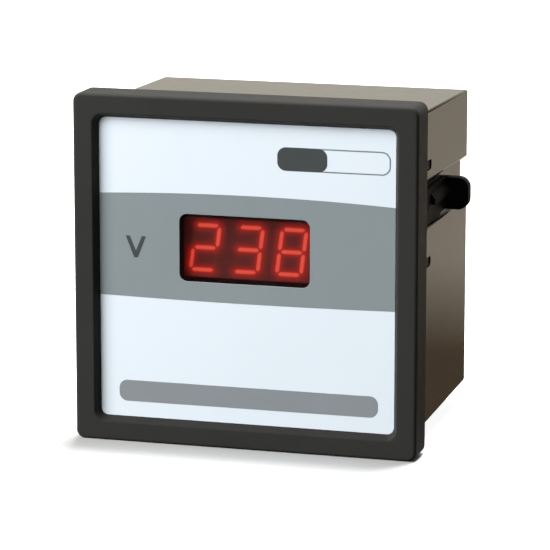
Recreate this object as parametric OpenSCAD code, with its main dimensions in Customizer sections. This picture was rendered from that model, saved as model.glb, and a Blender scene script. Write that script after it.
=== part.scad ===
// Digital panel meter with three LED digits, a push-through case for a square
// panel cut-out, two sliding side clips and a four-way rear terminal block.
// Millimetres. +Z up, the face looks towards -Y, and the origin is the centre
// of the bezel's rear face, where the front of the panel comes.

/* [Bezel] */
// Width and height of the bezel
bezel_w = 96; // [92:1:100]
// Thickness of the bezel, from the panel to its front
bezel_t = 10.8; // [10:0.1:13]
// Radius of the bezel's corners
bezel_corner_r = 2.4; // [2:0.1:4]
// Radius of the rounded edge around the bezel's front
bezel_edge_r = 0.9; // [0.5:0.1:1.8]
// Width of the flat frame around the face
frame_w = 5.6; // [4.6:0.1:6]
// How much the frame's inner wall slopes in on its way to the plate
lip_taper = 1.0; // [0.6:0.1:1.6]
// Depth of the plate below the bezel's front
plate_recess = 2.5; // [1.5:0.1:3]

/* [Case] */
// Width of the case
case_w = 90; // [89:0.5:91]
// Height of the case at the panel
case_h = 87.3; // [86:0.1:89]
// How much lower the top and bottom are at the rear, each
case_draft = 1.4; // [0:0.1:2]
// Length of the case behind the panel
case_l = 61.2; // [61:0.1:75]
// Wall thickness
wall = 2.2; // [1.8:0.1:2.4]

/* [Display] */
// Width of the window in the face
window_w = 36.6; // [34:0.1:37.4]
// Height of the window in the face
window_h = 18.6; // [17:0.1:18.8]
// Height of the window's centre above the face's centre
window_z = 6.6; // [0:0.1:10]
// Distance from one digit to the next
digit_pitch = 12.15; // [12.1:0.05:12.4]
// Height of a digit's figure
figure_h = 13.6; // [12:0.1:14.2]
// Slant of the figures, in degrees
figure_slant = 7.5; // [0:0.5:10]
// Depth of the digits' faces below the bezel's front
digit_recess = 6.5; // [6.4:0.1:7.5]

/* [Side clips] */
// Height of the clip rail's centre above the middle of the case
clip_z = 16.7; // [14:0.1:17]
// Height of a clip's arm
clip_h = 9.0; // [7:0.1:9.2]
// Length of a clip's arm
clip_l = 42; // [38:1:43]
// Gap between the clip's foot and the bezel
clip_gap = 1.8; // [1:0.1:6]
// How far the finger tab stands out from the middle of the case
tab_reach = 50.8; // [50:0.1:54]

/* [Terminals] */
// Number of terminals
terminals = 4; // [3:1:4]
// Distance from one terminal to the next
terminal_pitch = 11; // [10.5:0.1:11.5]

/* [Hidden] */
$fn = 48;

e = 0.01;
bw = bezel_w / 2;
front_y = -bezel_t;
open_half = bw - frame_w;                 // opening at the front
plate_half = open_half - lip_taper;       // opening at the plate
plate_y = front_y + plate_recess;         // front of the film
film_t = 0.2;
seat_y = plate_y + 2.0;                   // rear of the plate
ledge_t = 1.5;
cw = case_w / 2;
ch = case_h / 2;
in_w = cw - wall;
in_h = ch - wall;
collar_l = 9;
rear_in = case_l - wall;

digit_y = front_y + digit_recess;         // face of the digits
digit_d = 8;
digit_z = window_z - 0.5;                 // height of the figures' centre
board1_y = digit_y + digit_d;             // front of the display board
board_t = 1.6;
board2_z = -28;                           // underside of the main board
board2_y0 = 12;
board2_y1 = 56.5;

rail_top = clip_z + 6.8;                  // upper edge of the rail's mouth at the rear
rail_rise = 1.2;                          // how much higher it is at the panel
rail_bot = clip_z - 5.6;                  // lower edge of the rail's mouth
rail_floor = cw - 2.0;                    // the rail is 2 mm deep
rail_back = rail_floor - 1.4;
slot_h = 4;                               // the slot that holds the clip
slot_z = clip_z - 1.2;
teeth_z = slot_z - 3;
foot_h = 3.6;

term_z0 = board2_z + board_t;             // underside of the terminal block
term_h = 16;
term_y0 = 47;
term_face = 52;
function term_x(i) = (i - (terminals + 1) / 2) * terminal_pitch;
term_zc = term_z0 + 8.2;
trim_x = 32;
trim_z = term_z0 + 5;

// ---------------------------------------------------------------- helpers
module box(x0, x1, y0, y1, z0, z1)
  translate([x0, y0, z0]) cube([x1 - x0, y1 - y0, z1 - z0]);

// a flat outline in X and Z, carried along Y
module along_y(y0, y1)
  translate([0, y1, 0]) rotate([90, 0, 0]) linear_extrude(height = y1 - y0) children();

// a flat outline in Y and Z, carried along X
module along_x(x0, x1)
  translate([x0, 0, 0]) rotate([90, 0, 90]) linear_extrude(height = x1 - x0) children();

// a rod along Y
module rod_y(x, z, r, y0, y1)
  translate([x, y1, z]) rotate([90, 0, 0]) cylinder(r = r, h = y1 - y0);

module rrect(w, h, r) {
  square([w - 2 * r, h], center = true);
  square([w, h - 2 * r], center = true);
  for (sx = [-1, 1], sz = [-1, 1])
    translate([sx * (w / 2 - r), sz * (h / 2 - r)]) circle(r);
}

module both_sides() {
  children();
  mirror([1, 0, 0]) children();
}

// ------------------------------------------------------------------ front
// one corner of the bezel, round and with a rounded front edge
module bezel_corner()
  rotate([90, 0, 0])
    rotate_extrude($fn = 48)
      union() {
        square([bezel_corner_r, bezel_t - bezel_edge_r]);
        square([bezel_corner_r - bezel_edge_r, bezel_t]);
        intersection() {
          translate([bezel_corner_r - bezel_edge_r, bezel_t - bezel_edge_r])
            circle(bezel_edge_r, $fn = 32);
          square([bezel_corner_r + 1, bezel_t + 1]);
        }
      }

hook_z = [28.4, 1.7];
module bezel() {
  color([0.13, 0.13, 0.125])
  difference() {
    union() {
      hull()
        for (sx = [-1, 1], sz = [-1, 1])
          translate([sx * (bw - bezel_corner_r), 0, sz * (bw - bezel_corner_r)]) bezel_corner();
      // collar inside the mouth of the case
      along_y(-e, collar_l) square([2 * (in_w - 0.15), 2 * (in_h - 0.25)], center = true);
      // hooks that spring into the case's windows
      both_sides() for (z = hook_z) {
        box(in_w - 2.2, in_w - 0.15, collar_l - e, 16, z - 1.9, z + 1.9);
        along_z_wedge(z);
      }
    }
    // sloping opening in front of the plate
    hull() {
      along_y(front_y - 0.5, front_y) rrect(2 * open_half, 2 * open_half, 3);
      along_y(plate_y - e, plate_y) rrect(2 * plate_half, 2 * plate_half, 2);
    }
    // seat of the plate
    along_y(plate_y - 2 * e, seat_y) rrect(2 * plate_half + 0.1, 2 * plate_half + 0.1, 2);
    // way through for the display
    along_y(seat_y - e, seat_y + ledge_t + e) square([76, 70], center = true);
    // cavity for the display board
    along_y(seat_y + ledge_t, collar_l + 1) square([2 * (in_w - 2.0), 2 * (in_h - 2.0)], center = true);
    // the collar is cut away where the clip rails are
    both_sides() box(in_w - 5, in_w + 0.01, e, collar_l + 8, rail_bot - 3, rail_top + rail_rise + 1.4);
  }
  // posts for the display board
  color([0.13, 0.13, 0.125])
  difference() {
    for (sx = [-1, 1], sz = [-1, 1])
      rod_y(sx * 36.6, sz * 33.4, 3.2, seat_y + ledge_t - e, board1_y);
    for (sx = [-1, 1], sz = [-1, 1])
      rod_y(sx * 36.6, sz * 33.4, 1.15, seat_y + ledge_t + 1.5, board1_y + 1);
  }
}

// the sprung hook's barb
module along_z_wedge(z)
  translate([0, 0, z - 1.15])
    linear_extrude(height = 2.3)
      polygon([[in_w - 0.3, 11.1], [in_w + 2, 11.1], [in_w + 2, 15.4], [in_w + 1, 16.6], [in_w - 0.1, 16.6], [in_w - 0.3, 15.9]]);

module facia_plate() {
  color([0.86, 0.88, 0.9])
  difference() {
    along_y(plate_y + film_t, seat_y) rrect(2 * plate_half - 0.1, 2 * plate_half - 0.1, 2);
    along_y(plate_y, seat_y + 1) translate([-0.4, window_z]) rrect(window_w + 1.4, window_h + 1.4, 2.4);
  }
}

module facia_film() {
  color([0.93, 0.95, 0.98])
  difference() {
    along_y(plate_y, plate_y + film_t) rrect(2 * plate_half - 0.1, 2 * plate_half - 0.1, 2);
    along_y(plate_y - 1, plate_y + 1) translate([-0.4, window_z]) rrect(window_w, window_h, 2.2);
  }
}

// red filter: a raised window on a flange glued behind the plate
module display_window() {
  color([0.45, 0.05, 0.05, 0.6]) {
    along_y(plate_y + film_t + 0.1, seat_y) translate([-0.4, window_z]) rrect(window_w + 1.2, window_h + 1.2, 2.3);
    along_y(seat_y, seat_y + 1.2) translate([-0.4, window_z]) rrect(window_w + 6, window_h + 6, 1.5);
  }
}

// ------------------------------------------------------------------ digits
function slant(p) = [p[0] + p[1] * tan(figure_slant), p[1]];
seg_t = 1.3;                              // width of a stroke
fig_w = 8.05;
// a lying bar of a figure, pointed at both ends, centred on c
function bar_h(c, l) = [[c[0] - l / 2, c[1]], [c[0] - l / 2 + seg_t / 2, c[1] + seg_t / 2],
  [c[0] + l / 2 - seg_t / 2, c[1] + seg_t / 2], [c[0] + l / 2, c[1]],
  [c[0] + l / 2 - seg_t / 2, c[1] - seg_t / 2], [c[0] - l / 2 + seg_t / 2, c[1] - seg_t / 2]];
function bar_v(c, l) = [[c[0], c[1] - l / 2], [c[0] - seg_t / 2, c[1] - l / 2 + seg_t / 2],
  [c[0] - seg_t / 2, c[1] + l / 2 - seg_t / 2], [c[0], c[1] + l / 2],
  [c[0] + seg_t / 2, c[1] + l / 2 - seg_t / 2], [c[0] + seg_t / 2, c[1] - l / 2 + seg_t / 2]];
seg_gap = 0.07;
hx = (fig_w - seg_t) / 2;
hz = (figure_h - seg_t) / 2;
bars = concat(
  [for (z = [-hz, 0, hz]) bar_h([0, z], 2 * hx - 2 * seg_gap)],
  [for (x = [-hx, hx], z = [-hz / 2, hz / 2]) bar_v([x, z], hz - 2 * seg_gap)]);
function digit_x(i) = -0.4 + (i - 1) * digit_pitch;

module figure_outline() {
  for (b = bars) polygon([for (p = b) slant(p)]);
  translate([hx + 1.15, -figure_h / 2 + 0.6]) circle(0.7);
}

// a moulded reflector with a cavity behind each stroke
module digit_shell(i) {
  color([0.25, 0.1, 0.1])
  difference() {
    box(digit_x(i) - 6.02, digit_x(i) + 6.02, digit_y, board1_y - 0.6, digit_z - 8.3, digit_z + 8.3);
    along_y(digit_y - 1, board1_y - 2) translate([digit_x(i) - 0.1, digit_z]) figure_outline();
  }
}
module digit_segments(i) {
  color([0.9, 0.3, 0.2])
  along_y(digit_y + 0.02, board1_y - 2.1) translate([digit_x(i) - 0.1, digit_z]) figure_outline();
}
module digit_hundreds() { digit_shell(0); }
module digit_tens() { digit_shell(1); }
module digit_units() { digit_shell(2); }
module segments_hundreds() { digit_segments(0); }
module segments_tens() { digit_segments(1); }
module segments_units() { digit_segments(2); }

// ------------------------------------------------------- display electronics
pin_z = 7.62;
module digit_pins() {
  color([0.78, 0.78, 0.75])
  for (i = [0, 1, 2], n = [-2 : 2], s = [-1, 1])
    rod_y(digit_x(i) + n * 2.54 * 0.95, digit_z + s * pin_z, 0.3, board1_y - 0.6, board1_y + board_t + 1.5);
}

chip_z = -17;
module display_board() {
  color([0.10, 0.06, 0.05])
  difference() {
    along_y(board1_y, board1_y + board_t) square([2 * (in_w - 2.3), 2 * (in_h - 2.3)], center = true);
    for (sx = [-1, 1], sz = [-1, 1])
      rod_y(sx * 36.6, sz * 33.4, 1.5, board1_y - 1, board1_y + 3);
    for (i = [0, 1, 2], n = [-2 : 2], s = [-1, 1])
      rod_y(digit_x(i) + n * 2.54 * 0.95, digit_z + s * pin_z, 0.32, board1_y - 1, board1_y + 3);
    for (n = [-4.5 : 1 : 4.5])
      box(n * 2.54 - 0.34, n * 2.54 + 0.34, board1_y - 1, board1_y + 3, board2_z + 2.4, board2_z + 3.1);
    for (n = [-9.5 : 1 : 9.5], s = [-1, 1])
      box(n * 2.54 - 0.3, n * 2.54 + 0.3, board1_y - 1, board1_y + 3, chip_z + s * 7.62 - 0.2, chip_z + s * 7.62 + 0.2);
    // room for the case's clip rails
    both_sides() box(in_w - 5, in_w, board1_y - 1, board1_y + 3, rail_bot - 3, rail_top + rail_rise + 1.4);
  }
}

module board_screws() {
  color([0.7, 0.7, 0.68])
  for (sx = [-1, 1], sz = [-1, 1]) translate([sx * 36.6, 0, sz * 33.4])
    difference() {
      union() {
        rod_y(0, 0, 1.1, board1_y - 5, board1_y + board_t + 0.1);
        rod_y(0, 0, 2.4, board1_y + board_t, board1_y + board_t + 1.6);
      }
      box(-1.8, 1.8, board1_y + board_t + 0.9, board1_y + board_t + 2, -0.3, 0.3);
      box(-0.3, 0.3, board1_y + board_t + 0.9, board1_y + board_t + 2, -1.8, 1.8);
    }
}

// forty-legged converter on the rear of the display board
module converter_chip() {
  color([0.1, 0.1, 0.1])
  difference() {
    box(-26, 26, board1_y + board_t + 0.5, board1_y + board_t + 4.3, chip_z - 6.8, chip_z + 6.8);
    rod_y(-26, chip_z, 1.4, board1_y + board_t + 3.4, board1_y + board_t + 5);
  }
  color([0.78, 0.78, 0.75])
  for (n = [-9.5 : 1 : 9.5], s = [-1, 1]) {
    box(n * 2.54 - 0.25, n * 2.54 + 0.25, board1_y + 0.4, board1_y + board_t + 2.4,
        chip_z + s * 7.62 - 0.15, chip_z + s * 7.62 + 0.15);
    box(n * 2.54 - 0.6, n * 2.54 + 0.6, board1_y + board_t + 1.9, board1_y + board_t + 2.4,
        chip_z + s * 7.2 - 0.57, chip_z + s * 7.2 + 0.57);
  }
}

// the link from the display board to the main board
module link_header() {
  color([0.12, 0.12, 0.12])
  difference() {
    box(-12.8, 12.8, 13.2, 15.8, board2_z + board_t, board2_z + board_t + 2.6);
    for (n = [-4.5 : 1 : 4.5])
      box(n * 2.54 - 0.33, n * 2.54 + 0.33, 13, 15, board2_z + 2.42, board2_z + 3.08);
    for (n = [-4.5 : 1 : 4.5])
      box(n * 2.54 - 0.33, n * 2.54 + 0.33, 14.17, 14.83, board2_z, board2_z + 3.08);
  }
}
module link_pins() {
  color([0.85, 0.7, 0.35])
  for (n = [-4.5 : 1 : 4.5]) {
    box(n * 2.54 - 0.32, n * 2.54 + 0.32, board1_y - 0.4, 14.82, board2_z + 2.44, board2_z + 3.06);
    box(n * 2.54 - 0.32, n * 2.54 + 0.32, 14.18, 14.82, board2_z - 1.5, board2_z + 2.5);
  }
}

// --------------------------------------------------------- main electronics
tx = 15;
ty = 31;
core_w = 32;
core_t = 12;
core_h = 26;
core_z = board2_z + board_t + 3;
module main_board() {
  color([0.75, 0.62, 0.35])
  difference() {
    box(-(in_w - 0.3), in_w - 0.3, board2_y0, board2_y1, board2_z, board2_z + board_t);
    for (i = [1 : terminals])
      box(term_x(i) - 1.6, term_x(i) + 1.6, term_face - 0.1, term_face + 0.9, board2_z - 1, board2_z + 3);
    for (n = [-4.5 : 1 : 4.5])
      box(n * 2.54 - 0.36, n * 2.54 + 0.36, 14.14, 14.86, board2_z - 1, board2_z + 3);
    for (x = [-1, 1], y = [-1, 1]) translate([tx + x * 10, ty + y * 9.5, board2_z - 1]) cylinder(r = 0.45, h = 4);
    for (s = [-1, 1]) {
      translate([-22 + s * 2.5, 40, board2_z - 1]) cylinder(r = 0.42, h = 4);
      translate([-14 + s * 1.5, 27, board2_z - 1]) cylinder(r = 0.42, h = 4);
    }
  }
}

// stacked E and I plates
module transformer_core() {
  color([0.42, 0.42, 0.44])
  difference() {
    box(tx - core_w / 2, tx + core_w / 2, ty - core_t / 2, ty + core_t / 2, core_z, core_z + core_h);
    for (s = [-1, 1])
      translate([tx + s * 8.3, ty, core_z + core_h / 2]) cube([5.8, core_t + 1, 15.6], center = true);
    for (sx = [-1, 1], sz = [-1, 1])
      rod_y(tx + sx * 13.6, core_z + core_h / 2 + sz * 10.4, 1.5, ty - 10, ty + 10);
  }
}

// tube round the middle leg with a flange at each end, and four legs
module transformer_bobbin() {
  color([0.9, 0.88, 0.8]) {
    difference() {
      union() {
        translate([tx, ty, core_z + core_h / 2]) cube([12.6, core_t + 2.2, 15.4], center = true);
        for (s = [-1, 1])
          translate([tx, ty, core_z + core_h / 2 + s * 7.1]) cube([22, core_t + 11, 1.2], center = true);
        for (x = [-1, 1], y = [-1, 1])
          box(tx + x * 10 - 1.0, tx + x * 10 + 1.0, ty + y * 9.5 - 1.2, ty + y * 9.5 + 1.2, board2_z + board_t, core_z + 6);
      }
      translate([tx, ty, core_z + core_h / 2]) cube([10.9, core_t + 0.1, 30], center = true);
    }
    for (x = [-1, 1], y = [-1, 1])
      translate([tx + x * 10, ty + y * 9.5, board2_z - 1.6]) cylinder(r = 0.4, h = 4);
  }
}

module transformer_winding() {
  color([0.72, 0.4, 0.2])
  difference() {
    translate([tx, ty, core_z + core_h / 2]) cube([21.6, core_t + 10, 12.8], center = true);
    translate([tx, ty, core_z + core_h / 2]) cube([12.7, core_t + 2.3, 14], center = true);
  }
}

module capacitor(x, y, r, h, lead) {
  z0 = board2_z + board_t + 0.2;
  difference() {
    translate([x, y, z0]) cylinder(r = r, h = h);
    translate([x, y, z0 + 1.4]) rotate_extrude() translate([r + 0.5, 0]) circle(0.8);
    translate([x - r, y - 0.15, z0 + h - 0.3]) cube([2 * r, 0.3, 1]);
    translate([x - 0.15, y - r, z0 + h - 0.3]) cube([0.3, 2 * r, 1]);
  }
  for (s = [-1, 1]) translate([x + s * lead, y, board2_z - 1.5]) cylinder(r = 0.38, h = 4);
}
module large_capacitor() { color([0.12, 0.13, 0.25]) capacitor(-22, 40, 6.25, 20, 2.5); }
module small_capacitor() { color([0.12, 0.13, 0.25]) capacitor(-14, 27, 4, 11, 1.5); }

// a part with two bent leads lying on the main board, along Y
module axial(x, y, r, l, pitch, lead) {
  z = board2_z + board_t + r + 0.15;
  rod_y(x, z, r, y - l / 2, y + l / 2);
  for (s = [-1, 1]) {
    rod_y(x, z, lead, y + (s > 0 ? l / 2 - 0.2 : -pitch / 2), y + (s > 0 ? pitch / 2 : -l / 2 + 0.2));
    w = lead + 0.08;
    box(x - w, x + w, y + s * pitch / 2 - w, y + s * pitch / 2 + w, board2_z + board_t + 0.02, z + w);
  }
}
module rectifier_diodes() { color([0.1, 0.1, 0.1]) for (n = [0 : 3]) axial(-11.5 + n * 3.6, 40.6, 1.35, 5.0, 9, 0.36); }
module input_resistors() { color([0.45, 0.6, 0.75]) for (n = [0 : 4]) axial(-38 + n * 3.4, 21, 1.15, 6.3, 9.5, 0.3); }

module voltage_regulator() {
  x = -35;
  y = 36;
  z0 = board2_z + board_t;
  color([0.1, 0.1, 0.1]) box(x - 5, x + 5, y - 2.2, y + 2.2, z0 + 4, z0 + 13);
  color([0.75, 0.75, 0.75]) {
    difference() {
      box(x - 5, x + 5, y + 0.9, y + 2.2, z0 + 13 - e, z0 + 19.5);
      rod_y(x, z0 + 16.6, 1.85, y - 3, y + 5);
    }
    for (n = [-1, 0, 1]) box(x + n * 2.54 - 0.4, x + n * 2.54 + 0.4, y - 0.3, y + 0.3, z0, z0 + 4 + e);
  }
}

// calibration trimmer, turned through a hole in the rear of the case
module trimmer_body() {
  color([0.1, 0.25, 0.6])
  difference() {
    union() {
      box(trim_x - 4.9, trim_x + 4.9, 49.5, 56, term_z0 + 0.1, term_z0 + 10);
      rod_y(trim_x, trim_z, 3.2, 55.9, 57.2);
    }
    rod_y(trim_x, trim_z, 2.05, 54, 58);
  }
}
module trimmer_screw() {
  color([0.9, 0.75, 0.3])
  difference() {
    rod_y(trim_x, trim_z, 2.0, 54.05, 58.4);
    box(trim_x - 0.3, trim_x + 0.3, 57.5, 60, trim_z - 3, trim_z + 3);
  }
}

// ---------------------------------------------------------------- terminals
bar_t = 1.8;
module terminal_block() {
  hw = terminals * terminal_pitch / 2 + bar_t / 2;
  color([0.1, 0.1, 0.1])
  difference() {
    union() {
      box(-hw, hw, term_y0, term_face, term_z0, term_z0 + term_h);
      for (i = [0 : terminals])
        box((i - terminals / 2) * terminal_pitch - bar_t / 2, (i - terminals / 2) * terminal_pitch + bar_t / 2,
            term_y0, case_l - 0.6, term_z0, term_z0 + term_h);
      // sill above the contacts
      box(-hw, hw, term_y0, term_face + 3.2, term_z0 + term_h - 2, term_z0 + term_h);
    }
    for (i = [1 : terminals]) {
      rod_y(term_x(i), term_zc, 2.2, term_y0 - 1, term_face + 1);
      box(term_x(i) - 1.7, term_x(i) + 1.7, term_face - 0.05, term_face + 1, term_z0 - 1, term_z0 + 2);
    }
  }
}

// tinned plates with a tapped hole and a tail through the main board
module terminal_contacts() {
  color([0.8, 0.72, 0.45])
  for (i = [1 : terminals])
    difference() {
      union() {
        box(term_x(i) - 4.3, term_x(i) + 4.3, term_face, term_face + 0.8, term_z0 + 1.6, term_z0 + term_h - 2.1);
        box(term_x(i) - 1.5, term_x(i) + 1.5, term_face, term_face + 0.8, board2_z - 1.8, term_z0 + 2);
      }
      rod_y(term_x(i), term_zc, 1.5, term_face - 1, term_face + 2);
    }
}

// square clamping washer with turned-up sides
module terminal_clamp(i) {
  y0 = term_face + 1.0;
  color([0.78, 0.78, 0.76])
  difference() {
    union() {
      box(term_x(i) - 4.0, term_x(i) + 4.0, y0, y0 + 0.8, term_zc - 3.8, term_zc + 3.8);
      for (s = [-1, 1])
        box(term_x(i) + s * 3.65 - 0.35, term_x(i) + s * 3.65 + 0.35, y0, y0 + 1.5, term_zc - 3.8, term_zc + 3.8);
    }
    rod_y(term_x(i), term_zc, 1.62, y0 - 1, y0 + 2);
  }
}

// pan head screw with a crossed slot
module terminal_screw(i) {
  y0 = term_face + 1.85;
  color([0.82, 0.82, 0.8])
  difference() {
    union() {
      rod_y(term_x(i), term_zc, 1.44, term_y0 + 0.6, y0 + 0.1);
      rod_y(term_x(i), term_zc, 3.2, y0, y0 + 1.5);
      translate([term_x(i), y0 + 1.5, term_zc]) rotate([-90, 0, 0])
        rotate_extrude() polygon([[0, -e], [3.2, -e], [3.05, 0.35], [2.6, 0.65], [1.8, 0.85], [0, 0.9]]);
    }
    box(term_x(i) - 3.4, term_x(i) + 3.4, y0 + 1.2, y0 + 3, term_zc - 0.4, term_zc + 0.4);
    box(term_x(i) - 0.4, term_x(i) + 0.4, y0 + 1.2, y0 + 3, term_zc - 2, term_zc + 2);
  }
}
module terminal_clamp_1() { terminal_clamp(1); }
module terminal_clamp_2() { terminal_clamp(2); }
module terminal_clamp_3() { terminal_clamp(3); }
module terminal_clamp_4() { terminal_clamp(4); }
module terminal_screw_1() { terminal_screw(1); }
module terminal_screw_2() { terminal_screw(2); }
module terminal_screw_3() { terminal_screw(3); }
module terminal_screw_4() { terminal_screw(4); }

// --------------------------------------------------------------------- case
function side_outline(dy0, h0, dy1, h1) = [[dy0, -h0], [dy1, -h1], [dy1, h1], [dy0, h0]];
tooth = 2;

module case() {
  color([0.15, 0.14, 0.13])
  difference() {
    union() {
      difference() {
        along_x(-cw, cw) polygon(side_outline(0, ch, case_l, ch - case_draft));
        along_x(-in_w, in_w) polygon(side_outline(-1, in_h + case_draft / case_l, rear_in, in_h - case_draft));
      }
      // thicker wall behind each clip rail
      both_sides() box(rail_back, in_w + e, 0, rear_in + e, rail_bot - 1.4, rail_top + rail_rise + 0.2);
      // guides for the main board
      both_sides() {
        box(in_w - 2.6, in_w + e, board2_y0, rear_in, board2_z - 1.5, board2_z - 0.1);
        box(in_w - 2.6, in_w + e, board2_y0, rear_in, board2_z + board_t + 0.1, board2_z + board_t + 1.5);
      }
      // stops that the display board's end meets
      for (sx = [-1, 1], sz = [-1, 1])
        box(sx * 20 - 1, sx * 20 + 1, 10, 30, sz > 0 ? in_h - 3 : -in_h - 0.6, sz > 0 ? in_h + 0.6 : -in_h + 3);
    }
    // clip rails, open at the rear
    both_sides() {
      along_x(rail_floor, cw + 1)
        polygon([[-1, rail_bot], [case_l + 1, rail_bot], [case_l + 1, rail_top - 1.4 - rail_rise / case_l],
                 [-1, rail_top - 1.4 + rail_rise * (1 + 1 / case_l)]]);
      // sloping upper side of the mouth
      translate([0, case_l, rail_top]) rotate([-atan(rail_rise / case_l), 0, 0])
        along_y(-case_l - 1, 1)
          polygon([[rail_floor + 0.2, -5], [cw + 1, -5], [cw + 1, 0.85], [cw, 0], [rail_floor + 0.2, -1.53]]);
      // slot that holds the clip
      box(rail_back - 1, rail_floor + 1, 4, case_l + 1, slot_z - slot_h / 2, slot_z + slot_h / 2);
      box(rail_back - 4, rail_back + e, rear_in - 1, case_l + 1, slot_z - slot_h / 2 - 1.6, slot_z + slot_h / 2 + 1.6);
      // ratchet teeth
      for (n = [0 : 20]) along_z_tooth(14 + n * tooth, teeth_z);
      // windows for the bezel's hooks
      for (z = hook_z)
        translate([in_w - 1, 13.95, z]) rotate([90, 0, 90])
          linear_extrude(height = cw - in_w + 2) rrect(6.1, 2.8, 1.0);
    }
    // opening for the terminal block
    box(-24, 24, rear_in - 1, case_l + 1, term_z0 - 0.2, term_z0 + term_h + 0.3);
    // way to the trimmer
    rod_y(trim_x, trim_z, 2.6, rear_in - 1, case_l + 1);
  }
}

module along_z_tooth(y, z)
  translate([0, 0, z - 0.7])
    linear_extrude(height = 1.4)
      polygon([[rail_floor + e, y], [rail_floor - 0.6, y + 0.1], [rail_floor + e, y + tooth - 0.5]]);

// -------------------------------------------------------------------- clips
clip_in = rail_floor + 0.3;
arm_out = clip_in + 0.9;                  // the arm is a thin plate
tab_y0 = 37.2;
tab_t = 3.2;
module clip() {
  z0 = clip_z - clip_h / 2;
  z1 = clip_z + clip_h / 2;
  color([0.05, 0.05, 0.05]) {
    // arm, with a short tail behind the tab
    along_x(clip_in, arm_out)
      polygon([[clip_gap, z0 - 0.8], [30, z0 - 0.8], [32.5, z0], [tab_y0 + e, z0], [tab_y0 + e, z1], [clip_gap, z1]]);
    box(clip_in, arm_out, tab_y0, clip_gap + clip_l, z0 + 0.6, z1 - 0.6);
    // foot that presses on the panel
    box(clip_in, 47, clip_gap, clip_gap + 2.4, z0, z1);
    // stiffening rib along the arm
    along_y(20, tab_y0 + e)
      polygon([[arm_out - e, clip_z - 0.2], [clip_in + 2.2, clip_z - 0.2], [clip_in + 2.2, clip_z + 1.2],
               [arm_out + 0.1, clip_z + 2.8], [arm_out - e, clip_z + 2.8]]);
    // finger tab with a rounded end
    along_y(tab_y0, tab_y0 + tab_t)
      intersection() {
        translate([clip_in, z0]) square([tab_reach - clip_in, clip_h]);
        union() {
          translate([clip_in - 1, z0 - 1]) square([tab_reach - clip_in - 3, clip_h + 2]);
          translate([tab_reach - 4, clip_z]) rrect(8, clip_h, 3);
        }
      }
    // brace behind the tab
    translate([0, 0, clip_z - 1])
      linear_extrude(height = 2)
        polygon([[arm_out - e, tab_y0 + tab_t - e], [tab_reach - 2, tab_y0 + tab_t - e], [arm_out - e, clip_gap + clip_l - 0.2]]);
    // stem and head in the slot
    box(rail_back - 0.3, clip_in + e, 9, 40, slot_z - foot_h / 2, slot_z + foot_h / 2);
    box(rail_back - 1.6, rail_back - 0.3, 9, 40, slot_z - foot_h / 2 - 1.4, slot_z + foot_h / 2 + 1.4);
    // pawl that clicks over the teeth
    box(rail_floor + 0.08, clip_in + e, 33, 34.6, teeth_z - 0.2, teeth_z + 0.5);
  }
}
module clip_right() { clip(); }
module clip_left() { mirror([1, 0, 0]) clip(); }

bezel();
case();
facia_plate();
facia_film();
display_window();
digit_hundreds();
digit_tens();
digit_units();
segments_hundreds();
segments_tens();
segments_units();
digit_pins();
display_board();
board_screws();
converter_chip();
link_header();
link_pins();
main_board();
transformer_core();
transformer_bobbin();
transformer_winding();
large_capacitor();
small_capacitor();
rectifier_diodes();
voltage_regulator();
input_resistors();
trimmer_body();
trimmer_screw();
terminal_block();
terminal_contacts();
terminal_clamp_1();
terminal_clamp_2();
terminal_clamp_3();
terminal_clamp_4();
terminal_screw_1();
terminal_screw_2();
terminal_screw_3();
terminal_screw_4();
clip_left();
clip_right();
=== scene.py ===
import bpy, bmesh, math
import numpy as np
from mathutils import Vector, Matrix


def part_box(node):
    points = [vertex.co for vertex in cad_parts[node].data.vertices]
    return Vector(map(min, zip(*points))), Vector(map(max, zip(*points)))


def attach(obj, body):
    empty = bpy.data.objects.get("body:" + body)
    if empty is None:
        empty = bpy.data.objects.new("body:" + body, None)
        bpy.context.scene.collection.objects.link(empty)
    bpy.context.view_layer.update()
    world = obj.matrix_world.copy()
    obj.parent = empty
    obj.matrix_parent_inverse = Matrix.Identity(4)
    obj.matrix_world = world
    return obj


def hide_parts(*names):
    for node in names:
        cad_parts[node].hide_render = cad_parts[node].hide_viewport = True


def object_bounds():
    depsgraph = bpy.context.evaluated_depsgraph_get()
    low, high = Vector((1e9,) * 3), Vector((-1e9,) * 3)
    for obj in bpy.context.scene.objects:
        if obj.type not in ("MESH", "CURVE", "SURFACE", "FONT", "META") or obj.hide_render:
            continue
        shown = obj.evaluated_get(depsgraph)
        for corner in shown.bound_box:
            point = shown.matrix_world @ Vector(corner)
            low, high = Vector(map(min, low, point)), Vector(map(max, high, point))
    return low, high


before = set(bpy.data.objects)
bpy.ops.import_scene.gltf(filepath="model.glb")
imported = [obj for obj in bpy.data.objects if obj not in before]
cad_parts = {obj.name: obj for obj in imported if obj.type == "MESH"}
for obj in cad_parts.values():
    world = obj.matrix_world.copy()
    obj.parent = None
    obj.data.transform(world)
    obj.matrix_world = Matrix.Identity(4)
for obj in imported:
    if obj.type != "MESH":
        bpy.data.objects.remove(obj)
cad_lo, cad_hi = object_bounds()
scene = bpy.context.scene
scene.view_settings.view_transform = "Standard"
scene.view_settings.look = "None"
MM = 0.001

# ------------------------------------------------------------------ camera
CAM = dict(az=15.97, el=11.82, roll=0.03, dist=888.71, f_px=3322.04, aim=(8.88, -10.8, 1.05))


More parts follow.
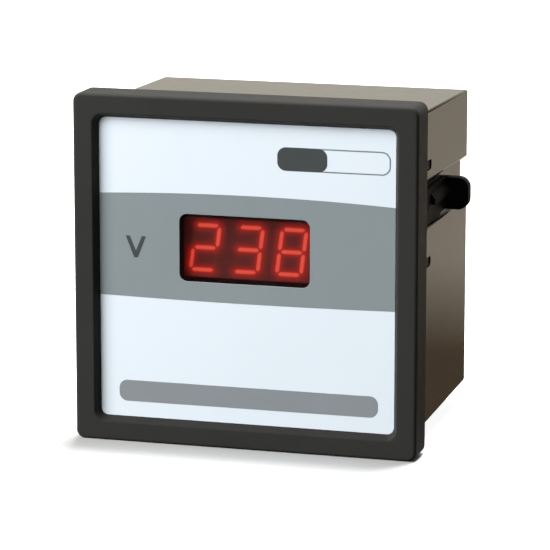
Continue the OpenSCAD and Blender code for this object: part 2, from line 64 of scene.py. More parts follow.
def make_camera():
    a, e = math.radians(CAM["az"]), math.radians(CAM["el"])
    back = Vector((math.sin(a) * math.cos(e), -math.cos(a) * math.cos(e), math.sin(e)))
    data = bpy.data.cameras.new("camera")
    cam = bpy.data.objects.new("camera", data)
    scene.collection.objects.link(cam)
    data.sensor_width = 36.0
    data.lens = 36.0 * CAM["f_px"] / 550.0
    data.clip_start, data.clip_end = 0.05, 20.0
    cam.location = (Vector(CAM["aim"]) + back * CAM["dist"]) * MM
    q = (-back).to_track_quat("-Z", "Y")
    cam.rotation_mode = "QUATERNION"
    cam.rotation_quaternion = q @ Matrix.Rotation(math.radians(CAM["roll"]), 4, "Z").to_quaternion()
    scene.camera = cam


make_camera()


# --------------------------------------------------------------- materials
def nodes_of(name):
    m = bpy.data.materials.new(name)
    m.use_nodes = True
    nt = m.node_tree
    b = nt.nodes["Principled BSDF"]
    return m, nt, b


def ramp(nt, fac, stops):
    r = nt.nodes.new("ShaderNodeValToRGB")
    el = r.color_ramp.elements
    while len(el) > 1:
        el.remove(el[-1])
    el[0].position, el[0].color = stops[0][0], (*stops[0][1], 1)
    for p, c in stops[1:]:
        s = el.new(p)
        s.color = (*c, 1)
    nt.links.new(fac, r.inputs[0])
    return r.outputs[0]


def noise(nt, co, scale, detail=3.0, rough=0.55, stretch=None):
    if stretch:
        m = nt.nodes.new("ShaderNodeMapping")
        m.inputs["Scale"].default_value = stretch
        nt.links.new(co, m.inputs[0])
        co = m.outputs[0]
    n = nt.nodes.new("ShaderNodeTexNoise")
    n.inputs["Scale"].default_value = scale
    n.inputs["Detail"].default_value = detail
    n.inputs["Roughness"].default_value = rough
    nt.links.new(co, n.inputs["Vector"])
    return n.outputs["Fac"]


def span(nt, fac, lo, hi, a=0.3, b=0.7):
    r = nt.nodes.new("ShaderNodeMapRange")
    r.inputs["From Min"].default_value, r.inputs["From Max"].default_value = a, b
    r.inputs["To Min"].default_value, r.inputs["To Max"].default_value = lo, hi
    nt.links.new(fac, r.inputs["Value"])
    return r.outputs[0]


def surface(name, c_lo, c_hi, r_lo, r_hi, colour_scale=60, grain=4000, bump=0.15, depth=0.00004,
            metallic=0.0, ior=1.5, coat=0.0, coat_rough=0.1, spec=0.5, stretch=None, alpha=1.0):
    """A moulded, painted or plated finish: slow drift of colour, finer drift of gloss and a fine grain."""
    m, nt, b = nodes_of(name)
    co = nt.nodes.new("ShaderNodeTexCoord").outputs["Object"]
    slow = noise(nt, co, colour_scale, 4.0, 0.6, stretch)
    nt.links.new(ramp(nt, slow, [(0.3, c_lo), (0.7, c_hi)]), b.inputs["Base Color"])
    mid = noise(nt, co, colour_scale * 9, 3.0, 0.6, stretch)
    nt.links.new(span(nt, mid, r_lo, r_hi), b.inputs["Roughness"])
    if bump:
        g = noise(nt, co, grain, 2.0, 0.5, stretch)
        bp = nt.nodes.new("ShaderNodeBump")
        bp.inputs["Strength"].default_value = bump
        bp.inputs["Distance"].default_value = depth
        nt.links.new(g, bp.inputs["Height"])
        nt.links.new(bp.outputs[0], b.inputs["Normal"])
    b.inputs["Metallic"].default_value = metallic
    b.inputs["IOR"].default_value = ior
    b.inputs["Specular IOR Level"].default_value = spec
    b.inputs["Coat Weight"].default_value = coat
    b.inputs["Coat Roughness"].default_value = coat_rough
    b.inputs["Alpha"].default_value = alpha
    return m


M = {}
M["bezel_plastic"] = surface("bezel_plastic", (0.029, 0.0286, 0.0268), (0.033, 0.0326, 0.0308), 0.54, 0.62, 25, 2600, 0.35, 0.00006, spec=0.08)
M["case_plastic"] = surface("case_plastic", (0.034, 0.027, 0.019), (0.042, 0.034, 0.024), 0.13, 0.17, 30, 1800, 0.05, 0.00003)
M["plate_plastic"] = surface("plate_plastic", (0.72, 0.76, 0.80), (0.76, 0.80, 0.84), 0.35, 0.45, 40, 3000, 0.1)
M["film_white"] = surface("film_white", (0.775, 0.855, 0.925), (0.795, 0.875, 0.945), 0.34, 0.42, 30, 5000, 0.06, 0.00002)
M["print_grey"] = surface("print_grey", (0.222, 0.260, 0.270), (0.240, 0.278, 0.288), 0.36, 0.44, 30, 5000, 0.06, 0.00002)
M["print_pill"] = surface("print_pill", (0.229, 0.254, 0.269), (0.246, 0.272, 0.287), 0.36, 0.44, 30, 5000, 0.06, 0.00002)
M["print_dark"] = surface("print_dark", (0.026, 0.036, 0.036), (0.034, 0.045, 0.045), 0.36, 0.44, 30, 5000, 0.06, 0.00002)
M["print_line"] = surface("print_line", (0.16, 0.19, 0.20), (0.18, 0.21, 0.22), 0.36, 0.44, 30, 5000, 0.06, 0.00002)
M["digit_shell"] = surface("digit_shell", (0.014, 0.008, 0.008), (0.020, 0.011, 0.011), 0.45, 0.55, 60, 3500, 0.2)
M["tinned_metal"] = surface("tinned_metal", (0.60, 0.60, 0.58), (0.72, 0.72, 0.70), 0.28, 0.42, 200, 2500, 0.15, metallic=1.0)
M["board_laminate"] = surface("board_laminate", (0.40, 0.25, 0.10), (0.50, 0.33, 0.14), 0.40, 0.52, 120, 3000, 0.2, stretch=(1, 1, 6))
M["board_dark"] = surface("board_dark", (0.020, 0.007, 0.006), (0.026, 0.010, 0.008), 0.42, 0.52, 120, 3000, 0.15, spec=0.2)
M["screw_steel"] = surface("screw_steel", (0.62, 0.62, 0.60), (0.74, 0.74, 0.71), 0.22, 0.36, 260, 2600, 0.2, metallic=1.0)
M["chip_epoxy"] = surface("chip_epoxy", (0.014, 0.014, 0.015), (0.022, 0.022, 0.023), 0.52, 0.62, 120, 4500, 0.3)
M["header_plastic"] = surface("header_plastic", (0.012, 0.012, 0.012), (0.018, 0.018, 0.018), 0.40, 0.5, 90, 3000, 0.15)
M["gold_pin"] = surface("gold_pin", (0.80, 0.58, 0.25), (0.88, 0.66, 0.30), 0.18, 0.28, 200, 2500, 0.1, metallic=1.0)
M["core_steel"] = surface("core_steel", (0.10, 0.10, 0.11), (0.19, 0.19, 0.20), 0.38, 0.52, 300, 1500, 0.5, 0.0001, metallic=0.7, stretch=(1, 8, 1))
M["bobbin_nylon"] = surface("bobbin_nylon", (0.70, 0.64, 0.50), (0.78, 0.72, 0.58), 0.40, 0.5, 60, 2500, 0.15)
M["winding_tape"] = surface("winding_tape", (0.62, 0.40, 0.05), (0.72, 0.48, 0.07), 0.22, 0.34, 90, 900, 0.25, 0.0001, coat=0.4, stretch=(1, 1, 5))
M["capacitor_sleeve"] = surface("capacitor_sleeve", (0.012, 0.016, 0.055), (0.018, 0.022, 0.07), 0.20, 0.30, 60, 2000, 0.08, coat=0.4)
M["diode_epoxy"] = surface("diode_epoxy", (0.014, 0.014, 0.014), (0.024, 0.024, 0.024), 0.4, 0.5, 200, 3500, 0.2)
M["resistor_lacquer"] = surface("resistor_lacquer", (0.20, 0.36, 0.50), (0.26, 0.43, 0.58), 0.25, 0.36, 300, 2500, 0.1, coat=0.3)
M["trimmer_plastic"] = surface("trimmer_plastic", (0.012, 0.05, 0.24), (0.018, 0.07, 0.30), 0.3, 0.4, 100, 2500, 0.1)
M["brass_part"] = surface("brass_part", (0.66, 0.46, 0.16), (0.78, 0.56, 0.22), 0.24, 0.38, 240, 2500, 0.2, metallic=1.0)
M["block_plastic"] = surface("block_plastic", (0.013, 0.013, 0.013), (0.020, 0.020, 0.020), 0.42, 0.54, 60, 2600, 0.25, 0.00006)
M["clip_plastic"] = surface("clip_plastic", (0.0022, 0.0021, 0.0020), (0.0032, 0.0031, 0.0029), 0.52, 0.60, 60, 2400, 0.15, 0.00005, spec=0.06)


def lit_material():
    """Cast red resin with a lamp behind it: brightest at the middle of a stroke."""
    m, nt, b = nodes_of("lit_resin")
    co = nt.nodes.new("ShaderNodeTexCoord").outputs["Object"]
    n = noise(nt, co, 700, 3.0)
    nt.links.new(ramp(nt, n, [(0.3, (0.24, 0.03, 0.015)), (0.7, (0.28, 0.04, 0.02))]), b.inputs["Base Color"])
    at = nt.nodes.new("ShaderNodeAttribute")
    at.attribute_name = "glow"
    nt.links.new(ramp(nt, at.outputs["Fac"], [(0.0, (0.55, 0.010, 0.003)), (0.45, (0.80, 0.035, 0.018)), (1.0, (0.95, 0.085, 0.050))]),
                 b.inputs["Emission Color"])
    b.inputs["Emission Strength"].default_value = 0.86
    b.inputs["Roughness"].default_value = 0.35
    return m


def shell_material():
    """Dull face of the digit. Light from the lit strokes spreads a little way into it."""
    m, nt, b = nodes_of("digit_face")
    co = nt.nodes.new("ShaderNodeTexCoord").outputs["Object"]
    n = noise(nt, co, 500, 3.0)
    nt.links.new(ramp(nt, n, [(0.3, (0.105, 0.016, 0.014)), (0.7, (0.118, 0.019, 0.016))]), b.inputs["Base Color"])
    at = nt.nodes.new("ShaderNodeAttribute")
    at.attribute_name = "glow"
    nt.links.new(ramp(nt, at.outputs["Fac"], [(0.0, (0.0, 0.0, 0.0)), (0.3, (0.055, 0.0008, 0.0002)), (1.0, (0.36, 0.006, 0.0015))]),
                 b.inputs["Emission Color"])
    b.inputs["Emission Strength"].default_value = 1.0
    b.inputs["Roughness"].default_value = 0.5
    b.inputs["Specular IOR Level"].default_value = 0.12
    return m


def filter_material():
    m, nt, b = nodes_of("red_filter")
    co = nt.nodes.new("ShaderNodeTexCoord").outputs["Object"]
    n = noise(nt, co, 90, 3.0)
    nt.links.new(ramp(nt, n, [(0.3, (0.020, 0.002, 0.002)), (0.7, (0.026, 0.003, 0.003))]), b.inputs["Base Color"])
    r = noise(nt, co, 900, 2.0)
    nt.links.new(span(nt, r, 0.08, 0.12), b.inputs["Roughness"])
    b.inputs["Alpha"].default_value = 0.15
    b.inputs["Specular IOR Level"].default_value = 0.35
    b.inputs["IOR"].default_value = 1.49
    return m


M["lit_resin"] = lit_material()
M["digit_face"] = shell_material()
M["red_filter"] = filter_material()


# ----------------------------------------------------------------- meshing
def rr(hx, hz, r, y, n=8, cx=0.0, cz=0.0):
    """A rounded rectangle in X and Z at depth y, in millimetres."""
    r = max(r, 0.002)
    pts = []
    for k, (sx, sz) in enumerate([(1, 1), (-1, 1), (-1, -1), (1, -1)]):
        for i in range(n + 1):
            a = math.radians(90 * k + 90 * i / n)
            pts.append((cx + sx * (hx - r) + r * math.cos(a), y, cz + sz * (hz - r) + r * math.sin(a)))
    return pts


def obj_from(name, verts, faces, mat, smooth=True, angle=30):
    me = bpy.data.meshes.new(name)
    me.from_pydata([(x * MM, y * MM, z * MM) for x, y, z in verts], [], faces)
    me.validate()
    bm = bmesh.new()
    bm.from_mesh(me)
    bmesh.ops.remove_doubles(bm, verts=bm.verts, dist=1e-7)
    bmesh.ops.recalc_face_normals(bm, faces=bm.faces)
    bm.to_mesh(me)
    bm.free()
    if smooth:
        me.polygons.foreach_set("use_smooth", [True] * len(me.polygons))
        me.set_sharp_from_angle(angle=math.radians(angle))
    me.materials.append(M[mat] if isinstance(mat, str) else mat)
    o = bpy.data.objects.new(name, me)
    scene.collection.objects.link(o)
    return o


def loft(rings, wrap=False, cap0=False, cap1=False, base=0):
    n = len(rings[0])
    verts = [p for r in rings for p in r]
    faces = []
    m = len(rings)
    for i in range(m if wrap else m - 1):
        a, b = i * n, ((i + 1) % m) * n
        for j in range(n):
            k = (j + 1) % n
            faces.append((base + a + j, base + a + k, base + b + k, base + b + j))
    if cap0:
        faces.append(tuple(base + j for j in range(n)))
    if cap1:
        faces.append(tuple(base + (m - 1) * n + j for j in range(n)))
    return verts, faces


def join_parts(parts):
    V, F = [], []
    for v, f in parts:
        b = len(V)
        V += v
        F += [tuple(b + i for i in q) for q in f]
    return V, F


def circle_ring(cx, cz, r, y, n=32):
    return [(cx + r * math.cos(2 * math.pi * i / n), y, cz + r * math.sin(2 * math.pi * i / n)) for i in range(n)]


def flat_shape(name, loops, y, t, mat):
    """A thin printed shape: closed loops in X and Z, the inner ones holes, front at y - t, back at y."""
    bm = bmesh.new()
    edges = []
    for lp in loops:
        vs = [bm.verts.new((x * MM, y * MM, z * MM)) for x, z in lp]
        for i in range(len(vs)):
            edges.append(bm.edges.new((vs[i], vs[(i + 1) % len(vs)])))
    bmesh.ops.triangle_fill(bm, use_beauty=True, use_dissolve=False, edges=edges)
    r = bmesh.ops.extrude_face_region(bm, geom=list(bm.faces))
    for v in [g for g in r["geom"] if isinstance(g, bmesh.types.BMVert)]:
        v.co.y -= t * MM
    bmesh.ops.recalc_face_normals(bm, faces=bm.faces)
    me = bpy.data.meshes.new(name)
    bm.to_mesh(me)
    bm.free()
    me.materials.append(M[mat])
    o = bpy.data.objects.new(name, me)
    scene.collection.objects.link(o)
    return o


def cad_copy(name, node, mat, extra=()):
    """A clean, welded copy of a CAD node's mesh to be refined."""
    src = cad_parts[node].data
    bm = bmesh.new()
    bm.from_mesh(src)
    bmesh.ops.remove_doubles(bm, verts=bm.verts, dist=2e-6)
    bmesh.ops.dissolve_limit(bm, angle_limit=math.radians(1.0), verts=bm.verts, edges=bm.edges)
    me = bpy.data.meshes.new(name)
    bm.to_mesh(me)
    bm.free()
    me.materials.clear()
    me.materials.append(M[mat])
    for m in extra:
        me.materials.append(M[m])
    if me.has_custom_normals:
        bpy.context.view_layer.objects.active = None
    o = bpy.data.objects.new(name, me)
    scene.collection.objects.link(o)
    return o


def shade(o, angle=30):
    me = o.data
    me.polygons.foreach_set("use_smooth", [True] * len(me.polygons))
    me.set_sharp_from_angle(angle=math.radians(angle))


def add_bevel(o, width, seg=3, angle=35, weight=False, harden=True):
    b = o.modifiers.new("bevel", "BEVEL")
    b.width = width * MM
    b.segments = seg
    b.limit_method = "WEIGHT" if weight else "ANGLE"
    b.angle_limit = math.radians(angle)
    b.harden_normals = harden
    b.use_clamp_overlap = True
    b.miter_outer = "MITER_ARC"
    return b


def weigh(o, tests):
    """Sets bevel weights on edges; tests is a list of (function of both ends in mm, weight)."""
    me = o.data
    at = me.attributes.get("bevel_weight_edge") or me.attributes.new("bevel_weight_edge", "FLOAT", "EDGE")
    vals = [0.0] * len(me.edges)
    co = [v.co / MM for v in me.vertices]
    for i, e in enumerate(me.edges):
        a, b = co[e.vertices[0]], co[e.vertices[1]]
        for f, w in tests:
            if f(a, b):
                vals[i] = w
                break
    at.data.foreach_set("value", vals)
    return sum(1 for v in vals if v)


def dress(node, mat, bevel=0.0, seg=2):
    """Gives a carried-over CAD node its finish, and softens its edges."""
    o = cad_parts[node]
    for s in o.material_slots:
        s.material = M[mat]
    if not o.material_slots:
        o.data.materials.append(M[mat])
    if bevel:
        w = o.modifiers.new("weld", "WELD")
        w.merge_threshold = 1e-6
        add_bevel(o, bevel, seg)
    return o


# ------------------------------------------------------------------- bezel
HB = 48.0                                 # half the bezel's width
F0 = -10.8                                # front of the bezel
PY = -8.3                                 # front of the film
ER = 0.9                                  # outer front fillet
CR = 2.4                                  # radius of the outer corners
OPEN, PLATE = 42.4, 41.4


def build_bezel():
    rings = []

    def ring(h, r, y, hz=None):
        rings.append(rr(h, hz if hz else h, r, y))

    ring(HB - 0.35, CR - 0.35, 0.0)
    for i in range(1, 4):
        a = math.radians(90 * i / 3)
        ring(HB - 0.35 + 0.35 * math.sin(a), CR - 0.35 + 0.35 * math.sin(a), -0.35 + 0.35 * math.cos(a))
    ring(HB, CR, -0.8)
    ring(HB, CR, F0 + ER + 0.5)
    for i in range(0, 9):
        a = math.radians(90 * i / 8)
        d = ER * (1 - math.cos(a))
        ring(HB - d, CR - d * 0.95, F0 + ER - ER * math.sin(a))
    ring(HB - ER - 0.5, CR - ER, F0)
    ring(OPEN + 0.9, 3.0, F0)
    lr = 0.45
    for i in range(0, 6):
        a = math.radians(90 * i / 5)
        ring(OPEN + lr * (1 - math.sin(a)), 3.0 - 0.0 * i, F0 + lr * (1 - math.cos(a)))
    ring(OPEN - 0.15, 2.9, F0 + lr + 0.3)
    ring(PLATE + 0.1, 2.1, PY - 0.15)
    ring(PLATE, 2.0, PY)
    ring(PLATE + 0.05, 2.0, PY + 0.1)
    ring(PLATE + 0.05, 2.0, PY + 2.0)
    ring(38.0, 1.0, PY + 2.0, 35.0)
    ring(38.0, 1.0, PY + 3.5, 35.0)
    ring(40.8, 1.0, PY + 3.5, 39.45)
    ring(40.8, 1.0, 8.7, 39.45)
    ring(41.1, 1.0, 9.0, 39.75)
    ring(42.35, 0.8, 9.0, 40.9)
    ring(42.65, 0.8, 8.6, 41.2)
    ring(42.65, 0.8, 0.0, 41.2)
    v, f = loft(rings, wrap=True)
    o = obj_from("bezel_moulding", v, f, "bezel_plastic", angle=40)

    # clearance for the rails is cut from the collar
    def cutter(name, x0, x1, y0, y1, z0, z1):
        vv = [(x, y, z) for x in (x0, x1) for y in (y0, y1) for z in (z0, z1)]
        ff = [(0, 1, 3, 2), (4, 6, 7, 5), (0, 4, 5, 1), (2, 3, 7, 6), (0, 2, 6, 4), (1, 5, 7, 3)]
        c = obj_from(name, vv, ff, "bezel_plastic", smooth=False)
        return c

    cuts = [cutter("cut_a", 37.8, 42.9, 0.01, 12, 8.1, 26.1), cutter("cut_b", -42.9, -37.8, 0.01, 12, 8.1, 26.1)]
    for c in cuts:
        md = o.modifiers.new("cut", "BOOLEAN")
        md.operation = "DIFFERENCE"
        md.solver = "EXACT"
        md.object = c
    bake_modifiers(o)
    for c in cuts:
        bpy.data.objects.remove(c)
    parts = []
    # posts for the display board
    for sx in (-1, 1):
        for sz in (-1, 1):
            cx, cz = sx * 36.6, sz * 33.4
            rg = [circle_ring(cx, cz, r, y) for r, y in
                  [(3.2, PY + 3.45), (3.2, 3.3), (2.9, 3.6), (1.45, 3.6), (1.15, 3.3), (1.15, PY + 5.0)]]
            parts.append(loft(rg, cap0=True, cap1=True))
    # sprung hooks
    for sx in (-1, 1):
        for z in (28.4, 1.7):
            x = [40.6, 42.65]
            prof = [(40.6, 8.9), (42.65, 8.9), (42.65, 15.7), (42.3, 16.0), (40.9, 16.0), (40.6, 15.7)]
            rg = [[(sx * px, py, zz) for px, py in prof] for zz in (z - 1.9, z + 1.9)]
            parts.append(loft(rg, cap0=True, cap1=True))
            prof = [(42.5, 11.1), (44.5, 11.1), (44.8, 11.4), (44.8, 15.3), (44.6, 15.7), (43.8, 16.6), (42.7, 16.6), (42.5, 15.9)]
            rg = [[(sx * px, py, zz) for px, py in prof] for zz in (z - 1.15, z + 1.15)]
            parts.append(loft(rg, cap0=True, cap1=True))
    v, f = join_parts(parts)
    h = obj_from("bezel_posts_and_hooks", v, f, "bezel_plastic", angle=40)
    for p in (o, h):
        wn = p.modifiers.new("normals", "WEIGHTED_NORMAL")
        wn.keep_sharp = True
        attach(p, "housing")
        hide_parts("bezel")


def bake_modifiers(o):
    dg = bpy.context.evaluated_depsgraph_get()
    dg.update()
    me = bpy.data.meshes.new_from_object(o.evaluated_get(dg), preserve_all_data_layers=True, depsgraph=dg)
    o.modifiers.clear()
    old = o.data
    o.data = me
    me.name = old.name + "_cut"
    me.polygons.foreach_set("use_smooth", [True] * len(me.polygons))
    me.set_sharp_from_angle(angle=math.radians(40))


build_bezel()


# -------------------------------------------------------------------- case
def build_case():
    o = cad_copy("case_moulding", "case", "case_plastic")

    def near(v, t, e=0.02):
        return abs(v - t) < e

    def ztop(y):
        return 43.65 - 1.4 * y / 61.2

    def long_edge(a, b):
        return all(near(abs(p.x), 45) and near(abs(p.z), ztop(p.y), 0.05) for p in (a, b))

    def rear_edge(a, b):
        return all(near(p.y, 61.2) and (near(abs(p.x), 45) or near(abs(p.z), 42.25, 0.05)) for p in (a, b)) and not (
            near(abs(a.x), 45) and near(abs(b.x), 45) and a.x * b.x < 0 and not near(abs(a.z), 42.25, 0.05))

    def rail_mouth(a, b):
        return all(near(abs(p.x), 45) and (near(p.z, 23.5 + 1.2 * (61.2 - p.y) / 61.2, 0.04) or near(p.z, 11.1)) for p in (a, b)) and abs(a.y - b.y) > 1

    n = weigh(o, [(long_edge, 1.0), (rear_edge, 0.8), (rail_mouth, 0.35)])
    print("case edges weighted", n)
    shade(o, 30)
    add_bevel(o, 0.8, 4, weight=True)
    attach(o, "housing")
    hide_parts("case")


build_case()


# ------------------------------------------------------------ face printing
def loop_rr(cx, cz, hx, hz, r, n=14):
    return [(x, z) for x, y, z in rr(hx, hz, r, 0, n, cx, cz)]


def build_print():
    y, t = PY, 0.035
    wx, wz = -0.4, 6.6
    # grey band with slightly bowed edges
    N = 40
    half = 41.3
    top = [(-half + 2 * half * i / N, 21.65 - 1.15 * (2 * i / N - 1) ** 2) for i in range(N + 1)]
    bot = [(half - 2 * half * i / N, -8.05 + 0.45 * (1 - 2 * i / N) ** 2) for i in range(N + 1)]
    band = flat_shape("printed_band", [top + bot, loop_rr(wx, wz, 18.32, 9.32, 2.2)], y, t, "print_grey")
    pill = flat_shape("printed_pill", [loop_rr(0.4, -34.15, 36.5, 2.95, 2.3)], y, t, "print_pill")
    oz, oh, orad = 32.2, 3.2, 2.4
    outline = flat_shape("printed_outline", [loop_rr(24.35, oz, 15.6, oh, orad), loop_rr(24.35, oz, 15.25, oh - 0.35, orad - 0.35)], y, t, "print_line")
    tag = flat_shape("printed_tag", [loop_rr(15.7, oz, 6.85, oh - 0.05, orad - 0.05)], y, t * 1.4, "print_dark")
    # the unit letter on the band
    cx, cz, hw, hh, w = -31.05, 6.1, 2.9, 3.0, 1.2
    V = [(cx - hw, cz + hh), (cx - hw + w, cz + hh), (cx, cz - hh + 1.9), (cx + hw - w, cz + hh), (cx + hw, cz + hh),
         (cx + w * 0.42, cz - hh), (cx - w * 0.42, cz - hh)]
    letter = flat_shape("printed_unit_letter", [V], y - t, t * 0.5, "print_dark")
    for o in (band, pill, outline, tag, letter):
        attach(o, "housing")


build_print()
dress("facia_film", "film_white")
dress("facia_plate", "plate_plastic", 0.15)
dress("display_window", "red_filter", 0.2)


# ------------------------------------------------------------------ digits
SEG_T, FIG_W, FIG_H, SLANT = 1.3, 8.05, 13.6, 7.5
HX, HZ = (FIG_W - SEG_T) / 2, (FIG_H - SEG_T) / 2
LIT = {2: "abged", 3: "abgcd", 8: "abcdefg"}


def strokes():
    g = 0.07
    l = 2 * HX - 2 * g
    h = HZ - 2 * g

    def bar_h(cz):
        t = SEG_T / 2
        return [(-l / 2, cz), (-l / 2 + t, cz + t), (l / 2 - t, cz + t), (l / 2, cz), (l / 2 - t, cz - t), (-l / 2 + t, cz - t)]

    def bar_v(cx, cz):
        t = SEG_T / 2
        return [(cx, cz - h / 2), (cx - t, cz - h / 2 + t), (cx - t, cz + h / 2 - t), (cx, cz + h / 2), (cx + t, cz + h / 2 - t), (cx + t, cz - h / 2 + t)]

    s = {"a": bar_h(HZ), "g": bar_h(0), "d": bar_h(-HZ), "b": bar_v(HX, HZ / 2), "c": bar_v(HX, -HZ / 2),
         "f": bar_v(-HX, HZ / 2), "e": bar_v(-HX, -HZ / 2)}
    k = math.tan(math.radians(SLANT))
    return {n: [(x + z * k, z) for x, z in p] for n, p in s.items()}


def seg_distance(px, pz, poly):
    """Signed distance from a point to a polygon, negative inside."""
    best, inside = 1e9, False
    n = len(poly)
    for i in range(n):
        ax, az = poly[i]
        bx, bz = poly[(i + 1) % n]
        dx, dz = bx - ax, bz - az
        t = max(0.0, min(1.0, ((px - ax) * dx + (pz - az) * dz) / (dx * dx + dz * dz)))
        d = math.hypot(px - ax - t * dx, pz - az - t * dz)
        best = min(best, d)
        if (az > pz) != (bz > pz) and px < (bx - ax) * (pz - az) / (bz - az) + ax:
            inside = not inside
    return -best if inside else best


def set_glow(me, values):
    at = me.attributes.new("glow", "FLOAT", "POINT")
    at.data.foreach_set("value", values)


def build_digit(node_shell, node_segs, figure):
    lo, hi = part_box(node_shell)
    cx, cz = (lo.x + hi.x) / 2 / MM - 0.1, (lo.z + hi.z) / 2 / MM
    y0 = lo.y / MM
    y1 = hi.y / MM
    polys = strokes()
    lit = [polys[k] for k in LIT[figure]]

    def glow_at(x, z, reach):
        d = min(seg_distance(x - cx, z - cz, p) for p in lit)
        return math.exp(-max(d, 0.0) / reach), d

    # strokes of cast resin, a little crowned, built as a dense cap on a prism
    for state in ("lit", "unlit"):
        names = [k for k in polys if (k in LIT[figure]) == (state == "lit")]
        parts, glow = [], []
        for k in names:
            p = polys[k]
            mx = sum(q[0] for q in p) / len(p)
            mz = sum(q[1] for q in p) / len(p)
            ringsets = []
            for s, y in ((1.0, y1 - 1.5), (1.0, y0 + 0.12), (0.97, y0 + 0.03), (0.86, y0 + 0.01), (0.6, y0 + 0.005), (0.3, y0)):
                rg = []
                for i in range(len(p)):
                    a, b = p[i], p[(i + 1) % len(p)]
                    for t in (0.0, 0.25, 0.5, 0.75):
                        x, z = a[0] + (b[0] - a[0]) * t, a[1] + (b[1] - a[1]) * t
                        rg.append((cx + mx + (x - mx) * s, y, cz + mz + (z - mz) * s))
                ringsets.append(rg)
            parts.append(loft(ringsets, cap0=True, cap1=True))
        if state == "unlit":
            parts.append(loft([circle_ring(cx + HX + 1.15, cz - FIG_H / 2 + 0.6, 0.7, y, 20) for y in (y1 - 1.5, y0 + 0.05)], cap0=True, cap1=True))
        if not parts:
            continue
        v, f = join_parts(parts)
        o = obj_from("strokes_%s_%s" % (state, node_segs.split("_")[1]), v, f, "lit_resin" if state == "lit" else "digit_face", angle=50)
        if state == "lit":
            vals = []
            for q in o.data.vertices:
                d = min(seg_distance(q.co.x / MM - cx, q.co.z / MM - cz, p) for p in lit)
                vals.append(max(0.0, min(1.0, -d / (SEG_T * 0.42))))
            set_glow(o.data, vals)
        else:
            set_glow(o.data, [glow_at(q.co.x / MM, q.co.z / MM, 1.25)[0] if q.co.y / MM < y0 + 0.2 else 0.0 for q in o.data.vertices])
        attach(o, "housing")
        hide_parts(node_segs)

    # the moulded shell: a fine face that carries the strokes' spilled light, over a plain body
    nx, nz = 50, 76
    X0, X1 = lo.x / MM - 0.05, hi.x / MM + 0.05
    Z0, Z1 = lo.z / MM + 0.12, hi.z / MM - 0.12
    verts, faces, vals = [], [], []
    for j in range(nz + 1):
        for i in range(nx + 1):
            x, z = X0 + (X1 - X0) * i / nx, Z0 + (Z1 - Z0) * j / nz
            verts.append((x, y0 + 0.02, z))
    for j in range(nz):
        for i in range(nx):
            a = j * (nx + 1) + i
            faces.append((a, a + 1, a + nx + 2, a + nx + 1))
    base = len(verts)
        # skirt: face edge -> side -> back; the modules stand edge to edge
    rim = [j for j in range(nx + 1)] + [(k * (nx + 1) + nx) for k in range(1, nz + 1)] + \
          [nz * (nx + 1) + nx - k for k in range(1, nx + 1)] + [(nz - k) * (nx + 1) for k in range(1, nz)]
    cxm, czm = (lo.x + hi.x) / 2 / MM, (lo.z + hi.z) / 2 / MM
    fx = (hi.x - lo.x) / MM / 2 / ((X1 - X0) / 2)
    fz = (hi.z - lo.z) / MM / 2 / ((Z1 - Z0) / 2)
    layers = [rim]
    for y in (y0 + 0.6, y1):
        lay = []
        for r in rim:
            x, _, z = verts[r]
            lay.append(len(verts))
            verts.append((cxm + (x - cxm) * fx, y, czm + (z - czm) * fz))
        layers.append(lay)
    for a, b in zip(layers, layers[1:]):
        n = len(a)
        for i in range(n):
            faces.append((a[i], a[(i + 1) % n], b[(i + 1) % n], b[i]))
    faces.append(tuple(layers[-1]))
    o = obj_from("shell_" + node_shell.split("_")[1], verts, faces, "digit_face", angle=30)
    vals = []
    for q in o.data.vertices:
        g, d = glow_at(q.co.x / MM, q.co.z / MM, 1.25)
        vals.append(g if q.co.y / MM < y0 + 0.2 else 0.0)
    set_glow(o.data, vals)
    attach(o, "housing")
    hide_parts(node_shell)


build_digit("digit_hundreds", "segments_hundreds", 2)
build_digit("digit_tens", "segments_tens", 3)
build_digit("digit_units", "segments_units", 8)


# ------------------------------------------------------------------- clips
def build_clip(node):
    o = cad_copy(node + "_moulding", node, "clip_plastic")
    shade(o, 30)
    add_bevel(o, 0.4, 3, 40)
    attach(o, node)
    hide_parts(node)


build_clip("clip_right")
build_clip("clip_left")

# ------------------------------------------------------------ inner pieces
dress("display_board", "board_dark")
dress("digit_pins", "tinned_metal")
dress("board_screws", "screw_steel", 0.06)
dress("converter_chip", "chip_epoxy", 0.12)
dress("link_header", "header_plastic", 0.08)
dress("link_pins", "gold_pin", 0.04)
dress("main_board", "board_laminate")
dress("transformer_core", "core_steel", 0.12)
dress("transformer_bobbin", "bobbin_nylon", 0.15)
dress("transformer_winding", "winding_tape", 0.5, 3)
dress("large_capacitor", "capacitor_sleeve", 0.2, 3)
dress("small_capacitor", "capacitor_sleeve", 0.2, 3)
dress("rectifier_diodes", "diode_epoxy", 0.1)
dress("voltage_regulator", "chip_epoxy", 0.12)
dress("input_resistors", "resistor_lacquer", 0.1)
dress("trimmer_body", "trimmer_plastic", 0.15)
dress("trimmer_screw", "brass_part", 0.08)
dress("terminal_block", "block_plastic", 0.2)
dress("terminal_contacts", "brass_part", 0.08)
for i in range(1, 5):
    dress("terminal_clamp_%d" % i, "tinned_metal", 0.1)
    dress("terminal_screw_%d" % i, "screw_steel", 0.08)


